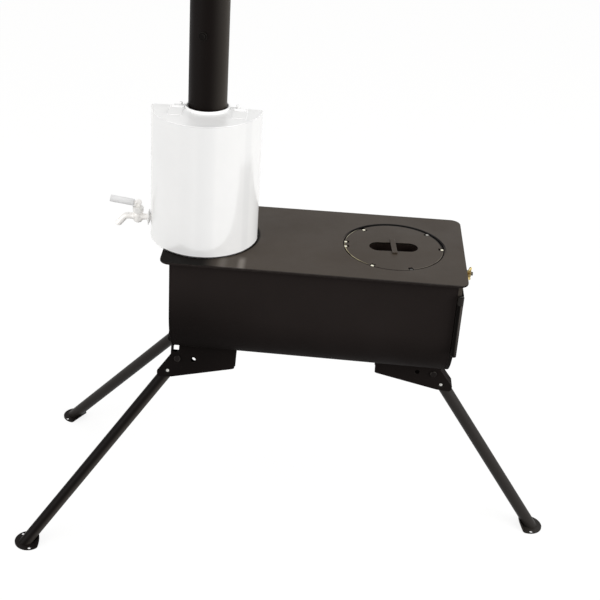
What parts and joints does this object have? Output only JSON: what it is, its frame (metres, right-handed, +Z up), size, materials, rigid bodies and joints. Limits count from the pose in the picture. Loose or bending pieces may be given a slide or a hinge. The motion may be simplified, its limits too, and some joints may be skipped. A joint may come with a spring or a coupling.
{
  "type": "tent wood stove",
  "caption": "Portable barrel wood stove on folding splayed legs, with a lift-off hotplate, a hinged door, a flue with a damper and a half-round water tank with a tap.",
  "frame": {"origin": "on the floor, at the centre of the overall bounding box seen from above", "axes": "+Z up, +X towards the door end, -Y towards the near side in the picture"},
  "size_m": [0.897, 0.4188, 1.024],
  "materials": {
    "black_paint": "matt heat-proof paint",
    "dark_steel": "dark oxide",
    "bare_steel": "bare zinc-plated steel",
    "stainless": "polished stainless",
    "brass": "cast and turned brass",
    "black_grip": "matt moulded grip",
    "grey_grip": "matt light grey moulded grip"
  },
  "bodies": {
    "firebox": {"top_plate": "black_paint", "firebox_shell": "black_paint", "rear_end_plate": "black_paint", "front_frame": "black_paint", "fire_grate": "dark_steel", "baffle_plate": "dark_steel", "hotplate_seat": "dark_steel", "centring_lugs": "bare_steel", "flue_spigot": "black_paint", "hinge_knuckles": "dark_steel", "hinge_pin": "bare_steel", "front_bracket": "black_paint", "near_bracket": "black_paint", "far_bracket": "black_paint", "pivot_bolts": "black_paint", "pivot_nuts": "dark_steel"},
    "hotplate": {"hotplate_lid": "black_paint", "lid_cup": "dark_steel", "lid_bar": "black_paint"},
    "flue": {"flue_pipe": "black_paint"},
    "damper": {"damper_plate": "dark_steel", "damper_spindle": "dark_steel", "damper_front_washer": "dark_steel", "damper_handle": "black_paint"},
    "water_tank": {"tank_front_wall": "stainless", "tank_back_wall": "stainless", "tank_top": "stainless", "tank_base": "stainless", "flap_hinge_rods": "bare_steel", "tank_strap": "stainless", "strap_screws": "bare_steel", "tap_flange": "brass", "tap_lock_nut": "brass", "tap_body": "brass", "tap_spout": "brass", "tap_bonnet": "brass"},
    "left_flap": {"filler_flap_left": "stainless"},
    "right_flap": {"filler_flap_right": "stainless"},
    "tap_lever": {"tap_plug": "brass", "tap_grip": "grey_grip"},
    "door": {"door_leaf": "black_paint", "shutter_stud": "bare_steel", "stud_sleeve": "brass"},
    "shutter": {"air_shutter": "black_paint"},
    "clamp_nut": {"wing_nut": "brass"},
    "latch": {"latch_spindle": "bare_steel", "latch_handle": "dark_steel", "latch_grip": "black_grip"},
    "front_leg_body": {"front_leg": "black_paint", "front_foot": "black_paint"},
    "near_leg_body": {"near_leg": "black_paint", "near_foot": "black_paint"},
    "far_leg_body": {"far_leg": "black_paint", "far_foot": "black_paint"},
    "front_snap": {"front_button": "bare_steel"},
    "near_snap": {"near_button": "bare_steel"},
    "far_snap": {"far_button": "bare_steel"}
  },
  "joints": [
    {"name": "hotplate_lift", "type": "slide", "parent": "firebox", "child": "hotplate", "axis": [0, 0, 1], "range_m": [0, 0.12]},
    {"name": "flue_lift", "type": "slide", "parent": "firebox", "child": "flue", "axis": [0, 0, 1], "range_m": [0, 0.24]},
    {"name": "damper_turn", "type": "hinge", "parent": "flue", "child": "damper", "pos_m": [-0.15586, 0, 0.861], "axis": [0.1994, 0.9799, 0], "range_deg": [0, 90]},
    {"name": "tank_lift", "type": "slide", "parent": "firebox", "child": "water_tank", "axis": [0, 0, 1], "range_m": [0, 0.09]},
    {"name": "left_flap_swing", "type": "hinge", "parent": "water_tank", "child": "left_flap", "pos_m": [-0.20086, -0.014, 0.7437], "axis": [-1, 0, 0], "range_deg": [0, 95]},
    {"name": "right_flap_swing", "type": "hinge", "parent": "water_tank", "child": "right_flap", "pos_m": [-0.10386, -0.014, 0.7437], "axis": [-1, 0, 0], "range_deg": [0, 95]},
    {"name": "tap_turn", "type": "hinge", "parent": "water_tank", "child": "tap_lever", "pos_m": [-0.26172, -0.017, 0.553], "axis": [0, 0, 1], "range_deg": [0, 90]},
    {"name": "door_swing", "type": "hinge", "parent": "firebox", "child": "door", "pos_m": [0.24614, -0.1086, 0.4515], "axis": [0, 0, -1], "range_deg": [0, 170]},
    {"name": "shutter_swing", "type": "hinge", "parent": "door", "child": "shutter", "pos_m": [0.25044, 0, 0.487], "axis": [1, 0, 0], "range_deg": [-18, 18]},
    {"name": "nut_turn", "type": "hinge", "parent": "door", "child": "clamp_nut", "pos_m": [0.26344, 0, 0.487], "axis": [1, 0, 0], "continuous": true},
    {"name": "latch_turn", "type": "hinge", "parent": "door", "child": "latch", "pos_m": [0.25044, 0.075, 0.4515], "axis": [-1, 0, 0], "range_deg": [0, 90]},
    {"name": "front_leg_fold", "type": "hinge", "parent": "firebox", "child": "front_leg_body", "pos_m": [0.23094, 0, 0.3023], "axis": [0, 1, 0], "range_deg": [0, 123.4]},
    {"name": "near_leg_fold", "type": "hinge", "parent": "firebox", "child": "near_leg_body", "pos_m": [-0.18866, -0.05073, 0.31299], "axis": [0, -0.915, 0.4035], "range_deg": [0, 124.6]},
    {"name": "far_leg_fold", "type": "hinge", "parent": "firebox", "child": "far_leg_body", "pos_m": [-0.18866, 0.05073, 0.31299], "axis": [0, -0.915, -0.4035], "range_deg": [0, 124.6]},
    {"name": "front_snap_out", "type": "slide", "parent": "front_leg_body", "child": "front_snap", "axis": [0, -1, 0], "range_m": [0, 0.003]},
    {"name": "near_snap_out", "type": "slide", "parent": "near_leg_body", "child": "near_snap", "axis": [0, -0.915, 0.4035], "range_m": [0, 0.003]},
    {"name": "far_snap_out", "type": "slide", "parent": "far_leg_body", "child": "far_snap", "axis": [0, 0.915, 0.4035], "range_m": [0, 0.003]}
  ]
}
